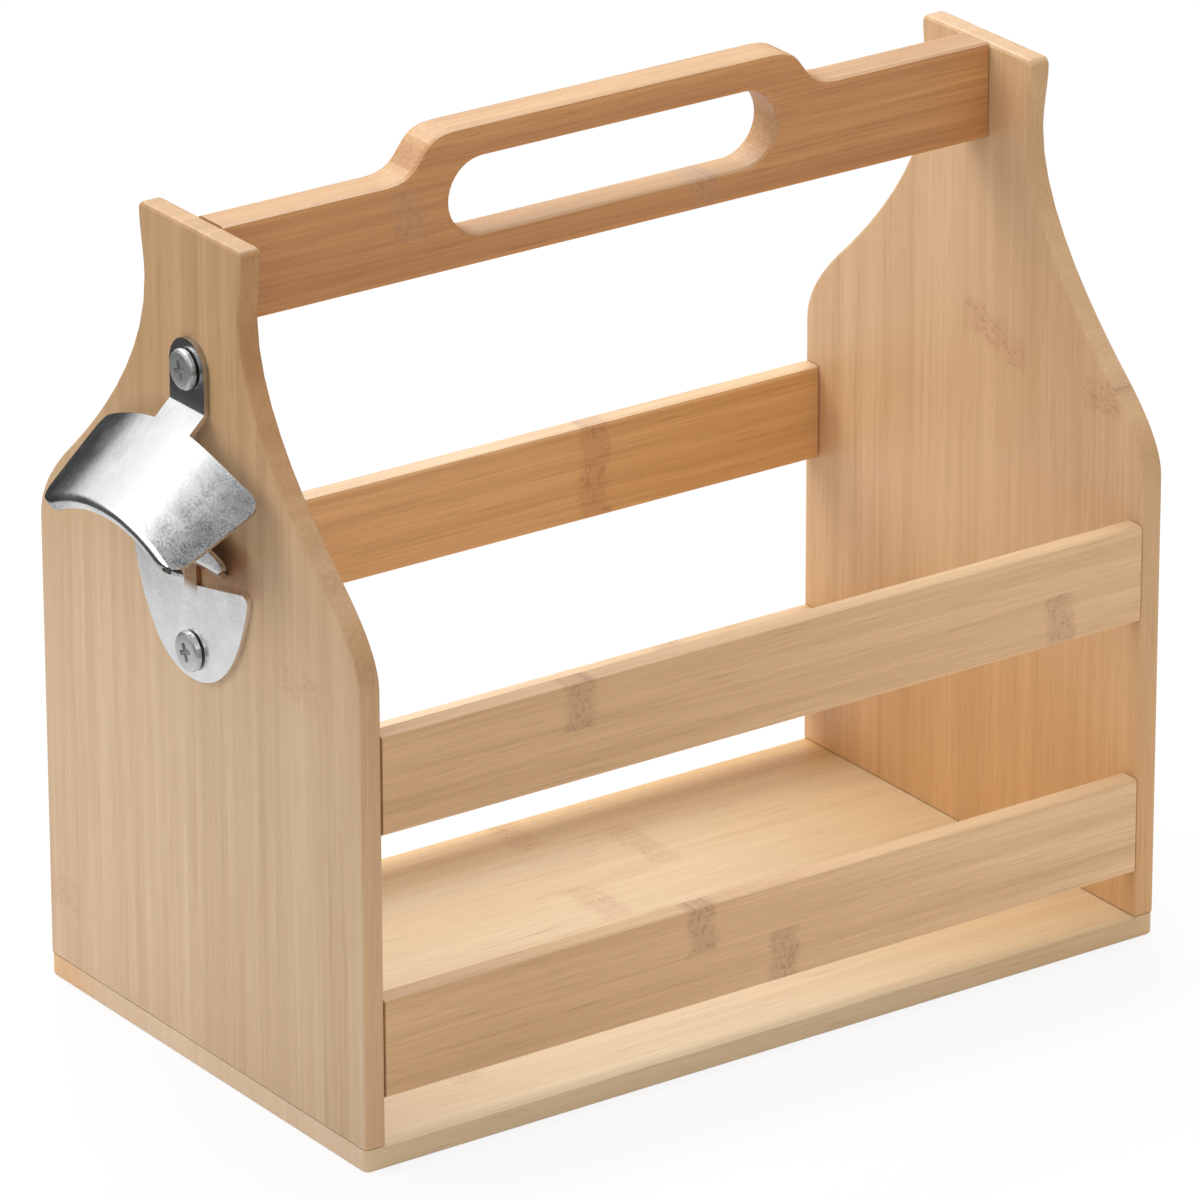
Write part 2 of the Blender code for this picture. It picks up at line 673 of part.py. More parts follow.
def hood_points(share):
    # Points from the back edge of the hood out to its rim and round the rolled edge.
    start = hood_start(share)
    points = []
    for part in closing_steps(HOOD_STEPS_OUT)[:-1]:
        points.append(hood_surface_point(start + (HOOD_REACH - start) * part, share))
    here, along, up = hood_frame(share)
    for step in range(ROLL_STEPS + 1):
        turn = RIM_ROLL_ANGLE * step / ROLL_STEPS
        drop = RIM_ROLL_RADIUS * (1 - math.cos(turn))
        points.append(here + along * RIM_ROLL_RADIUS * math.sin(turn) - up * drop)
    points.append(points[-1] + RIM_RETURN_LENGTH * (
        along * math.cos(RIM_ROLL_ANGLE) - up * math.sin(RIM_ROLL_ANGLE)))
    return points


def hood_bmesh():
    shape = bmesh.new()
    columns = []
    for index, share in enumerate(hood_shares()):
        is_neck = FLANK_STEPS <= index <= FLANK_STEPS + NECK_STEPS_ACROSS
        neck = [shape.verts.new(point) for point in neck_points(share)] if is_neck else []
        hood = [shape.verts.new(point) for point in hood_points(share)]
        columns.append((neck, hood))
    for (left_neck, left), (right_neck, right) in zip(columns, columns[1:]):
        if left_neck and right_neck:
            left = left_neck + left
            right = right_neck + right
        for low in range(len(left) - 1):
            shape.faces.new((left[low], left[low + 1], right[low + 1], right[low]))
    bmesh.ops.recalc_face_normals(shape, faces=shape.faces)
    bmesh.ops.solidify(shape, geom=shape.faces[:], thickness=PLATE_THICKNESS)
    bmesh.ops.recalc_face_normals(shape, faces=shape.faces)
    return shape


def catch_bmesh():
    # A flap that widens as it leaves the spine, and its lip, whose top is arched as the hood is.
    shape = bmesh.new()
    foot = CONTACT_GAP + PLATE_THICKNESS - HOOD_ROOT_SINK
    places = [-CATCH_LIP_HALF_WIDTH + 2 * CATCH_LIP_HALF_WIDTH * step / CATCH_STEPS
              for step in range(CATCH_STEPS + 1)]
    lip = [CATCH_RISE + CATCH_LIP_HEIGHT + math.sqrt(HOOD_ARCH_RADIUS ** 2 - y ** 2)
           - math.sqrt(HOOD_ARCH_RADIUS ** 2 - CATCH_LIP_HALF_WIDTH ** 2) for y in places]
    rows = [(foot, [CATCH_FOOT_RISE] * len(places), CATCH_FOOT_HALF_WIDTH),
            (foot + CATCH_REACH, [CATCH_RISE] * len(places), CATCH_BEND_HALF_WIDTH),
            (foot + CATCH_REACH, lip, CATCH_LIP_HALF_WIDTH)]
    lines = []
    for out, rises, half_width in rows:
        lines.append([shape.verts.new((-HALF_LENGTH - out, y * half_width / CATCH_LIP_HALF_WIDTH,
                                       LOWER_SCREW_Z + rise))
                      for y, rise in zip(places, rises)])
    for low, high in zip(lines, lines[1:]):
        for step in range(CATCH_STEPS):
            shape.faces.new((low[step], high[step], high[step + 1], low[step + 1]))
    shape.normal_update()
    bmesh.ops.solidify(shape, geom=shape.faces[:], thickness=PLATE_THICKNESS)
    bmesh.ops.recalc_face_normals(shape, faces=shape.faces)
    return shape


def opener_screw_places():
    return [("opener_upper_screw", UPPER_SCREW_Z), ("opener_lower_screw", LOWER_SCREW_Z)]


def make_opener(collection, cutters, material):
    middle = -HALF_LENGTH - CONTACT_GAP - PLATE_THICKNESS / 2
    plate = outline_bmesh([opener_plate_outline()], PLATE_THICKNESS, PLATE_EDGE_ROUND,
                          across_x(middle))
    opener = object_from_bmesh("bottle_opener", plate, collection, material)
    shade_round(opener)
    for name, shape in (("opener_hood", hood_bmesh()), ("opener_catch", catch_bmesh())):
        addition = object_from_bmesh(name, shape, cutters)
        shade_round(addition)
        hide_cutter(addition)
        add_boolean(opener, addition, "UNION")
    for name, z in opener_screw_places():
        start = Vector((-HALF_LENGTH + CUT_OVERRUN, 0, z))
        end = Vector((-HALF_LENGTH - PLATE_THICKNESS - CUT_OVERRUN, 0, z))
        drill(opener, cutters, name + "_plate_hole", PAN_SHANK_DIAMETER / 2 + PEG_CLEARANCE,
              start, end, PAN_SCREW_SIDES)
    return opener


def recess_outline(head_diameter):
    # The outline of a cross recess, seen along the screw.
    wing = RECESS_WING_SHARE * head_diameter / 2
    slot = RECESS_SLOT_SHARE * head_diameter / 2
    quarter = [(slot, slot), (slot, wing), (-slot, wing)]
    places = []
    for turn in range(4):
        for x, y in quarter:
            for _ in range(turn):
                x, y = -y, x
            places.append((x, y))
    return [corner(x, y) for x, y in places]


def cut_recess(screw, name, head_diameter, top, seat, direction, cutters):
    depth = RECESS_DEPTH_SHARE * head_diameter
    middle = Matrix.Translation((0, 0, top + CUT_OVERRUN / 2 - depth / 2))
    turned = middle @ Matrix.Rotation(RECESS_TURN, 4, "Z")
    shape = outline_bmesh([recess_outline(head_diameter)], depth + CUT_OVERRUN, 0, turned)
    place_turned(shape, seat, direction)
    cutter = object_from_bmesh(name + "_recess", shape, cutters)
    hide_cutter(cutter)
    add_boolean(screw, cutter, "DIFFERENCE")


def shank_profile(radius, length):
    # The shank from its tip up to the head.
    return [(0, -length), (radius, -length + radius * 2)]


def make_pan_screw(name, z, collection, cutters, material):
    head = PAN_HEAD_DIAMETER / 2
    shank = PAN_SHANK_DIAMETER / 2
    length = PLATE_THICKNESS + CONTACT_GAP * 2 + PAN_SHANK_BITE
    profile = shank_profile(shank, length) + [(shank, 0), (head, 0)]
    profile += [(head * across, PAN_HEAD_HEIGHT * up) for across, up in PAN_CROWN_SHARES]
    profile.append((0, PAN_HEAD_HEIGHT))
    shape = turned_bmesh(profile, PAN_SCREW_SIDES)
    seat = Vector((-HALF_LENGTH - PLATE_THICKNESS - CONTACT_GAP * 2, 0, z))
    place_turned(shape, seat, (-1, 0, 0))
    screw = object_from_bmesh(name, shape, collection, material)
    shade_round(screw)
    cut_recess(screw, name, PAN_HEAD_DIAMETER, PAN_HEAD_HEIGHT, seat, (-1, 0, 0), cutters)
    return screw


def make_floor_screw(name, place, collection, cutters, material):
    head = FLOOR_SCREW_HEAD / 2
    shank = FLOOR_SCREW_SHANK / 2
    seat = place + Vector((0, 0, PEG_CLEARANCE))
    length = FLOOR_SCREW_LENGTH - PEG_CLEARANCE
    profile = shank_profile(shank, length) + [(shank, -FLOOR_SCREW_HEAD_HEIGHT), (head, 0), (0, 0)]
    shape = turned_bmesh(profile, FLOOR_SCREW_SIDES)
    place_turned(shape, seat, (0, 0, -1))
    screw = object_from_bmesh(name, shape, collection, material)
    shade_round(screw)
    cut_recess(screw, name, FLOOR_SCREW_HEAD, 0, seat, (0, 0, -1), cutters)
    return screw


def drill_pilot_holes(gable, cutters):
    # Blind holes in the left gable for the opener's screws.
    for name, z in opener_screw_places():
        start = Vector((-HALF_LENGTH - CUT_OVERRUN, 0, z))
        end = Vector((-HALF_LENGTH + PAN_SHANK_BITE + PEG_CLEARANCE, 0, z))
        drill(gable, cutters, name + "_pilot_hole", PAN_SHANK_DIAMETER / 2 + PEG_CLEARANCE,
              start, end, PAN_SCREW_SIDES)


def build():
    clear_scene()
    collection = make_collection(COLLECTION_NAME)
    cutters = make_collection(CUTTER_COLLECTION_NAME)
    gable_bamboo = make_material("gable_bamboo", (0.58, 0.39, 0.22), 0.55)
    slat_bamboo = make_material("slat_bamboo", (0.60, 0.40, 0.22), 0.55)
    handle_bamboo = make_material("handle_bamboo", (0.50, 0.27, 0.12), 0.55)
    floor_bamboo = make_material("floor_bamboo", (0.72, 0.50, 0.29), 0.55)
    dowel_wood = make_material("dowel_wood", (0.68, 0.52, 0.33), 0.7)
    opener_steel = make_material("opener_steel", (0.66, 0.66, 0.67), 0.24, 1.0)
    screw_steel = make_material("screw_steel", (0.60, 0.60, 0.61), 0.3, 1.0)

    make_floor(collection, cutters, floor_bamboo)
    left = make_gable("left_gable", -1, collection, cutters, gable_bamboo)
    make_gable("right_gable", 1, collection, cutters, gable_bamboo)
    for name, y, z in slat_places():
        make_slat(name, y, z, collection, cutters, slat_bamboo)
    make_handle(collection, cutters, handle_bamboo)
    for name, radius, place in dowel_places():
        make_dowel(name, radius, place, collection, dowel_wood)
    for name, place in floor_screw_places():
        make_floor_screw(name, place, collection, cutters, screw_steel)
    make_opener(collection, cutters, opener_steel)
    drill_pilot_holes(left, cutters)
    for name, z in opener_screw_places():
        make_pan_screw(name, z, collection, cutters, screw_steel)


build()
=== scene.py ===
import math

import bmesh
import bpy
from mathutils import Matrix, Vector
from mathutils.geometry import interpolate_bezier


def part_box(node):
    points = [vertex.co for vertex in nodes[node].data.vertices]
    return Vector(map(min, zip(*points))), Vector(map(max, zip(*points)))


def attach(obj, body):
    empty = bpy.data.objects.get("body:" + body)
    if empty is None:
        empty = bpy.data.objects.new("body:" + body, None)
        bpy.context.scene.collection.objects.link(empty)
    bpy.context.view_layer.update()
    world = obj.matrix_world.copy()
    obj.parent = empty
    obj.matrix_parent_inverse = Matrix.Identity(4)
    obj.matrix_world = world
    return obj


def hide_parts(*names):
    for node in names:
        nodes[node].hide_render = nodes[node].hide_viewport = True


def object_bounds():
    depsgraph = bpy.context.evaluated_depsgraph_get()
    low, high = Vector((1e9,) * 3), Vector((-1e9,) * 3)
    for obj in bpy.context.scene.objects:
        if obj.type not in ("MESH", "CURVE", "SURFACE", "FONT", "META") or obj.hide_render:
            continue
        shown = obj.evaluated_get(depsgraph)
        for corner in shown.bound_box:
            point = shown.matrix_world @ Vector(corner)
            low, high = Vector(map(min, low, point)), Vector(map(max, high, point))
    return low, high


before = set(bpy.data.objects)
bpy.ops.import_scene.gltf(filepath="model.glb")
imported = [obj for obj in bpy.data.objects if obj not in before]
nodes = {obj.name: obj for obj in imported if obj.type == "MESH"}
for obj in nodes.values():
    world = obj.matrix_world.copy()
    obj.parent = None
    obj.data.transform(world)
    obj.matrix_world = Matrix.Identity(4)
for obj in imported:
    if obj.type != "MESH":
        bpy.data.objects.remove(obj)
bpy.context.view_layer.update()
print("frame loaded,", len(nodes), "nodes")


def connect(tree, value, socket):
    if isinstance(value, bpy.types.NodeSocket):
        tree.links.new(value, socket)
    else:
        socket.default_value = value


def addNode(tree, kind, inputs=None, **settings):
    node = tree.nodes.new(kind)
    for name, value in settings.items():
        setattr(node, name, value)
    for key, value in (inputs or {}).items():
        connect(tree, value, node.inputs[key])
    return node


def calc(tree, operation, first, second=0.0, clamp=False):
    node = addNode(tree, "ShaderNodeMath", {0: first, 1: second}, operation=operation)
    node.use_clamp = clamp
    return node.outputs[0]


def centred(tree, value, amount):
    # a noise swings about zero, by the amount
    return calc(tree, "MULTIPLY", calc(tree, "SUBTRACT", value, 0.5), amount)


def millimetres(tree, place):
    return calc(tree, "MULTIPLY", place, 1000.0)


def remap(tree, value, low, high, toLow=0.0, toHigh=1.0, smooth=False):
    node = addNode(tree, "ShaderNodeMapRange", {
        "Value": value, "From Min": low, "From Max": high, "To Min": toLow, "To Max": toHigh})
    node.interpolation_type = "SMOOTHSTEP" if smooth else "LINEAR"
    return node.outputs["Result"]


def noise(tree, place, scale=1.0, detail=2.0, roughness=0.5, distortion=0.0):
    return addNode(tree, "ShaderNodeTexNoise", {
        "Vector": place, "Scale": scale, "Detail": detail, "Roughness": roughness,
        "Distortion": distortion}).outputs["Fac"]


def fibreNoise(tree, along, across, depth, stretch, detail=2.0, roughness=0.5, distortion=0.0):
    # a noise drawn out along the grain
    place = joinXYZ(tree, calc(tree, "MULTIPLY", along, stretch[0]),
                    calc(tree, "MULTIPLY", across, stretch[1]), depth)
    return noise(tree, place, 1.0, detail, roughness, distortion)


def mixNumber(tree, share, first, second):
    return addNode(tree, "ShaderNodeMix", {0: share, 2: first, 3: second}).outputs[0]


def joinXYZ(tree, x, y, z):
    return addNode(tree, "ShaderNodeCombineXYZ", {0: x, 1: y, 2: z}).outputs[0]


def mixColour(tree, share, first, second, mode="MIX"):
    node = tree.nodes.new("ShaderNodeMix")
    node.data_type = "RGBA"
    node.blend_type = mode
    connect(tree, share, node.inputs[0])
    connect(tree, rgba(first), node.inputs[6])
    connect(tree, rgba(second), node.inputs[7])
    return node.outputs[2]


def rgba(colour):
    if isinstance(colour, tuple) and len(colour) == 3:
        return (*colour, 1.0)
    return colour


def rampOf(tree, value, stops, interpolation="LINEAR"):
    node = addNode(tree, "ShaderNodeValToRGB", {0: value})
    ramp = node.color_ramp
    ramp.interpolation = interpolation
    while len(ramp.elements) < len(stops):
        ramp.elements.new(1.0)
    for element, (place, colour) in zip(ramp.elements, stops):
        element.position = place
        element.color = rgba(colour)
    return node.outputs[0]


def newMaterial(name):
    material = bpy.data.materials.new(name)
    material.use_nodes = True
    tree = material.node_tree
    return material, tree, tree.nodes["Principled BSDF"]


markReach = 200.0  # a node's place, in millimetres, runs from minus this to plus this
noMark = 1.0 - markReach  # lies off every board

# what all boards share; a stretch is a noise's scale along and across the grain, per millimetre
grain = {
    "wander": 1.6, "wanderAlong": 0.012, "wanderScale": 0.35, "stripShift": 400.0, "stripDepth": 57.0,
    "broadStretch": (0.006, 0.22), "mediumStretch": (0.014, 0.9), "fineStretch": (0.05, 3.2),
    "vesselStretch": (0.045, 2.1), "vesselDepth": 31.0, "vesselRange": (0.60, 0.72),
    "nodeLean": 7.0, "nodeLeanScale": 0.16, "nodeSeed": 4.0, "nodeReach": (3.0, 6.6),
    "squiggleStretch": (0.55, 0.42), "squiggleBend": 1.2, "squiggleRange": (0.52, 0.62),
    "cutFacing": (0.55, 0.9), "dotScale": 1.5, "dotSpread": 0.9, "dotAlong": 0.02,
    # the painted shade under the opener's hood fades out over the reach and depth given on this line
    "dotRange": (0.28, 0.42), "paintedShadeRange": (1.0, 0.1), "paintedShadeDepth": (1.0, 0.5),
    "glossSwing": 0.2, "fibreHeight": 0.5, "vesselHeight": 0.6, "bump": 0.25, "bumpDistance": 0.0001,
}


def bambooMaterial(name, look):
    material, tree, shader = newMaterial(name)
    coordinates = addNode(tree, "ShaderNodeTexCoord").outputs["Object"]
    split = addNode(tree, "ShaderNodeSeparateXYZ", {0: coordinates}).outputs
    # along the grain, across the strips and through the board, in millimetres
    along, across, through = [millimetres(tree, split[axis]) for axis in look["axes"]]
    seed = look["seed"]

    # fibres wander a little
    slow = joinXYZ(tree, calc(tree, "MULTIPLY", along, grain["wanderAlong"]), across, seed)
    wander = noise(tree, slow, grain["wanderScale"], 1)
    acrossBent = calc(tree, "ADD", across, centred(tree, wander, grain["wander"]))

    # one ramp holds each strip's tone, node place and random number
    low, high = look["strips"][0][0], look["end"]
    stops = [((edge - low) / (high - low), (tone, (mark + markReach) / (2 * markReach), pick))
             for edge, tone, mark, pick in look["strips"]]
    place = calc(tree, "DIVIDE", calc(tree, "SUBTRACT", acrossBent, low), high - low, clamp=True)
    strip = addNode(tree, "ShaderNodeSeparateColor", {
        0: rampOf(tree, place, stops, "CONSTANT")}).outputs

    # fibres: broad, medium and fine
    shift = calc(tree, "MULTIPLY", strip[2], grain["stripDepth"])
    alongShift = calc(tree, "ADD", along, calc(tree, "MULTIPLY", strip[2], grain["stripShift"]))
    broad = fibreNoise(tree, alongShift, acrossBent, shift, grain["broadStretch"])
    medium, fine = [fibreNoise(tree, alongShift, acrossBent, calc(tree, "MULTIPLY", through, stretch[1]),
                               stretch, 3, 0.6)
                    for stretch in (grain["mediumStretch"], grain["fineStretch"])]
    tone = calc(tree, "ADD", strip[0], centred(tree, broad, look["broad"]))
    tone = calc(tree, "ADD", tone, centred(tree, medium, look["medium"]))
    tone = calc(tree, "ADD", tone, centred(tree, fine, look["fine"]), clamp=True)
    colour = mixColour(tree, tone, look["dark"], look["light"])

    # dark vessels, short thin lines along the grain
    stretch = grain["vesselStretch"]
    depth = calc(tree, "ADD", calc(tree, "MULTIPLY", through, stretch[1]), grain["vesselDepth"])
    vessels = fibreNoise(tree, alongShift, acrossBent, depth, stretch)
    vesselMask = remap(tree, vessels, *grain["vesselRange"], 0.0, look["vessels"], smooth=True)
    colour = mixColour(tree, vesselMask, colour, look["vessel"])

    # the node of each strip: a pinkish band with squiggles
    nodePlace = calc(tree, "SUBTRACT", calc(tree, "MULTIPLY", strip[1], 2 * markReach), markReach)
    leanPlace = joinXYZ(tree, strip[2], across, seed + grain["nodeSeed"])
    lean = centred(tree, noise(tree, leanPlace, grain["nodeLeanScale"]), grain["nodeLean"])
    offset = calc(tree, "SUBTRACT", calc(tree, "SUBTRACT", along, nodePlace), lean)
    distance = calc(tree, "ABSOLUTE", offset)
    band = remap(tree, distance, *grain["nodeReach"], 1.0, 0.0, smooth=True)
    squiggle = fibreNoise(tree, along, across, shift, grain["squiggleStretch"], 2, 0.6,
                          grain["squiggleBend"])
    squiggleMask = calc(tree, "MULTIPLY", band,
                        remap(tree, squiggle, *grain["squiggleRange"], smooth=True))
    bandShare = calc(tree, "MULTIPLY", band, look["nodeBand"])
    lineShare = calc(tree, "MULTIPLY", squiggleMask, look["nodeLine"])
    colour = mixColour(tree, bandShare, colour, look["nodeColour"])
    colour = mixColour(tree, lineShare, colour, look["squiggle"])

    # end grain: small dots where the cut crosses the fibres
    facing = addNode(tree, "ShaderNodeSeparateXYZ", {
        0: addNode(tree, "ShaderNodeNewGeometry").outputs["Normal"]}).outputs
    endMask, edgeMask = [remap(tree, calc(tree, "ABSOLUTE", facing[axis]), *grain["cutFacing"],
                               smooth=True) for axis in look["axes"][:2]]
    dots = addNode(tree, "ShaderNodeTexVoronoi", {
        "Vector": joinXYZ(tree, across, through, calc(tree, "MULTIPLY", along, grain["dotAlong"])),
        "Scale": grain["dotScale"], "Randomness": grain["dotSpread"]}).outputs["Distance"]
    dotShare = remap(tree, dots, *grain["dotRange"], look["endDots"], 0.0, smooth=True)
    dotMask = calc(tree, "MULTIPLY", endMask, dotShare)
    colour = mixColour(tree, dotMask, colour, look["vessel"])

    # painted shade and light: the colour shifts along and across the grain, and side faces and ends get
    # their own tint, partly the wood's own colour and partly painted sheen and shade
    # painted shade and light along the grain
    start, stop, tint = look["paintedShadeAlong"]
    colour = mixColour(tree, remap(tree, along, start, stop, smooth=True), colour, tint, "MULTIPLY")
    # painted shadow across the board; only the floor uses it, beside the rear slat
    start, stop, tint = look["paintedShadowAcross"]
    colour = mixColour(tree, remap(tree, across, start, stop, smooth=True), colour, tint, "MULTIPLY")
    if look["paintedHoodShade"]:
        # painted shade: the wood is darkened where the opener's hood covers it, standing in for the hood's
        # shadow on the wall
        (middleY, middleZ), (radiusY, radiusZ), outerFace, tint = look["paintedHoodShade"]
        sideShare = calc(tree, "DIVIDE", calc(tree, "SUBTRACT", across, middleY), radiusY)
        heightShare = calc(tree, "DIVIDE", calc(tree, "SUBTRACT", along, middleZ), radiusZ)
        reach = calc(tree, "ADD", calc(tree, "POWER", sideShare, 2.0),
                     calc(tree, "POWER", heightShare, 2.0))
        shadeEnds, shadeFull = [outerFace + depth for depth in grain["paintedShadeDepth"]]
        paintedShadeShare = calc(tree, "MULTIPLY", remap(tree, reach, *grain["paintedShadeRange"], smooth=True),
                       remap(tree, through, shadeEnds, shadeFull))
        colour = mixColour(tree, paintedShadeShare, colour, tint, "MULTIPLY")
    # side faces and ends: partly the wood's own colour, partly painted sheen and shade
    colour = mixColour(tree, edgeMask, colour, look["edgeTintAndPaintedLight"], "MULTIPLY")
    colour = mixColour(tree, endMask, colour, look["endTintAndPaintedLight"], "MULTIPLY")

    connect(tree, colour, shader.inputs["Base Color"])
    rough = calc(tree, "ADD", look["roughness"], centred(tree, medium, grain["glossSwing"]))
    connect(tree, rough, shader.inputs["Roughness"])
    fibres = calc(tree, "ADD", calc(tree, "MULTIPLY", fine, grain["fibreHeight"]),
                  calc(tree, "MULTIPLY", medium, grain["fibreHeight"]))
    height = calc(tree, "SUBTRACT", fibres, calc(tree, "MULTIPLY", vesselMask, grain["vesselHeight"]))
    bump = addNode(tree, "ShaderNodeBump", {
        "Strength": grain["bump"], "Distance": grain["bumpDistance"], "Height": height})
    connect(tree, bump.outputs[0], shader.inputs["Normal"])
    return material


noTint = (1.0, 1.0, 1.0)
# strips give their first edge in millimetres, tone, node place and random number
# axes are along the grain, across the strips and through the board
baseLook = {
    "axes": (0, 2, 1), "seed": 0.0, "end": 300.0, "roughness": 0.42,
    "dark": (0.50, 0.29, 0.135), "light": (0.72, 0.49, 0.28), "vessel": (0.34, 0.18, 0.08),
    "nodeColour": (0.50, 0.26, 0.15), "squiggle": (0.38, 0.19, 0.10), "nodeBand": 0.32, "nodeLine": 0.40,
    "broad": 0.85, "medium": 0.8, "fine": 0.65, "vessels": 0.28, "endDots": 0.3,
    "paintedShadeAlong": (0.0, 1.0, noTint), "paintedShadowAcross": (0.0, 1.0, noTint), "edgeTintAndPaintedLight": noTint, "endTintAndPaintedLight": noTint,
    "paintedHoodShade": None, "strips": [(-300.0, 0.5, noMark, 0.3)],
}

# painted shade: the left gable darkens towards its top; its top end gets a painted highlight, and its
# front and back edges are warmer, the wood's own colour
gableLook = dict(
    baseLook, axes=(2, 1, 0), seed=1.0, end=90.0, dark=(0.44, 0.28, 0.15), light=(0.64, 0.46, 0.292),
    paintedShadeAlong=(110.0, 225.0, (0.86, 0.75, 0.58)), edgeTintAndPaintedLight=(1.08, 0.955, 0.83), endTintAndPaintedLight=(1.02, 1.06, 1.15),
    # painted shade under the opener's hood: its middle, radii, outer face and tint
    paintedHoodShade=((-12.0, 162.0), (26.0, 12.0), -140.0, (0.55, 0.40, 0.30)),
    nodeBand=0.16, nodeLine=0.26, broad=0.95, medium=0.75, fine=0.55, strips=[
        (-90.0, 0.40, noMark, 0.13), (-62.0, 0.50, 138.0, 0.71), (-42.0, 0.44, noMark, 0.42),
        (-20.0, 0.50, noMark, 0.93), (4.0, 0.60, noMark, 0.27), (24.0, 0.54, noMark, 0.58),
        (45.0, 0.62, noMark, 0.81), (65.0, 0.5, 29.0, 0.36)])
# painted light: the right gable warms towards its foot; its top end gets painted shade
# one strip's node slants, so it is written as three steps
rightGableLook = dict(
    gableLook, seed=2.0, paintedHoodShade=None, dark=(0.51, 0.30, 0.14), light=(0.77, 0.54, 0.318),
    paintedShadeAlong=(120.0, 40.0, (1.07, 0.98, 0.84)), edgeTintAndPaintedLight=(1.0, 0.93, 0.83), endTintAndPaintedLight=(0.88, 0.88, 0.92),
    nodeBand=0.20, nodeLine=0.42, broad=0.65, medium=0.5, fine=0.45, strips=[
        (-90.0, 0.46, noMark, 0.23), (-73.0, 0.52, 165.0, 0.61), (-54.0, 0.5, noMark, 0.32),
        (-26.0, 0.48, 165.5, 0.83), (-17.0, 0.48, 169.0, 0.83), (-7.0, 0.48, 172.0, 0.83),
        (4.0, 0.56, noMark, 0.17), (24.0, 0.5, noMark, 0.48), (45.0, 0.57, noMark, 0.71),
        (65.0, 0.5, noMark, 0.26)])
# painted shade: the front slats darken towards their left ends; their top and bottom faces get a painted
# sheen
frontLook = dict(
    baseLook, dark=(0.58, 0.33, 0.145), light=(0.90, 0.60, 0.328),
    paintedShadeAlong=(110.0, -110.0, (0.82, 0.77, 0.73)), edgeTintAndPaintedLight=(0.9, 0.97, 1.08), strips=[
        (0.0, 0.6, 5.0, 0.2), (37.0, 0.64, -24.0, 0.6), (80.0, 0.5, 103.0, 0.8),
        (117.0, 0.55, -66.0, 0.4)])
# painted shade: the rear slats darken towards their right ends; their top and bottom faces get a painted
# sheen
rearLook = dict(
    baseLook, seed=3.0, dark=(0.60, 0.33, 0.135), light=(0.93, 0.61, 0.31),
    paintedShadeAlong=(0.0, 110.0, (0.95, 0.92, 0.83)), edgeTintAndPaintedLight=(0.86, 1.0, 1.32), strips=[
        (0.0, 0.5, noMark, 0.55), (37.0, 0.56, 80.0, 0.15), (80.0, 0.52, 50.0, 0.35),
        (122.0, 0.47, 50.0, 0.7)])
# painted sheen: the handle's top and bottom faces and its ends are paler and less orange
handleLook = dict(
    baseLook, seed=4.0, dark=(0.44, 0.18, 0.06), light=(0.72, 0.36, 0.13), vessel=(0.22, 0.09, 0.035),
    squiggle=(0.28, 0.12, 0.05), edgeTintAndPaintedLight=(0.86, 1.1, 1.55), endTintAndPaintedLight=(0.86, 1.05, 1.4),
    nodeLine=0.26, broad=1.0, medium=1.0, strips=[
        (200.0, 0.5, noMark, 0.3), (228.0, 0.46, 31.0, 0.9), (240.0, 0.54, -71.0, 0.7),
        (256.0, 0.5, noMark, 0.5)])
# painted shade: the floor darkens towards its right end, and a painted shadow of the rear lower slat
# darkens it towards the back; its front and back faces are darker and warmer
floorLook = dict(
    baseLook, axes=(0, 1, 2), seed=5.0, end=90.0, dark=(0.60, 0.44, 0.26), light=(0.84, 0.71, 0.50),
    paintedShadeAlong=(20.0, 130.0, (1.0, 0.94, 0.83)), paintedShadowAcross=(50.0, 74.0, (1.0, 0.85, 0.66)),
    edgeTintAndPaintedLight=(1.0, 0.9, 0.82), endTintAndPaintedLight=(0.90, 0.81, 0.80), endDots=0.08,
    nodeBand=0.13, nodeLine=0.25, broad=0.5, medium=0.5, strips=[
        (-90.0, 0.5, noMark, 0.2), (-62.0, 0.55, -90.0, 0.55), (-38.0, 0.5, noMark, 0.7),
        (5.0, 0.58, 10.0, 0.4), (30.0, 0.5, 46.0, 0.9), (61.0, 0.54, 18.0, 0.1)])
dowelLook = dict(baseLook, axes=(0, 1, 2), seed=7.0)


def dress(name, material):
    mesh = nodes[name].data
    mesh.materials.clear()
    mesh.materials.append(material)


boards = {
    "left_gable": bambooMaterial("gableBambooLeft", gableLook),
    "right_gable": bambooMaterial("gableBambooRight", rightGableLook),
    "handle_board": bambooMaterial("handleBamboo", handleLook),
    "floor_panel": bambooMaterial("floorBamboo", floorLook),
}
frontBamboo = bambooMaterial("frontSlatBamboo", frontLook)
rearBamboo = bambooMaterial("rearSlatBamboo", rearLook)
dowelWood = bambooMaterial("dowelWood", dowelLook)
for name in nodes:
    if name in boards:
        dress(name, boards[name])
    elif "dowel" in name:
        dress(name, dowelWood)
    elif name.endswith("slat"):
        dress(name, frontBamboo if name.startswith("front") else rearBamboo)
print("boards dressed")


steelGrain = {
    "blotchScale": 160.0, "gritScale": 900.0, "scuffScale": 260.0, "scuffStretch": 9.0,
    "blotchRange": (0.35, 0.7), "gritHeight": 0.55, "scuffHeight": 0.12, "glossSwing": 0.25,
    "bumpDistance": 0.0001,
}


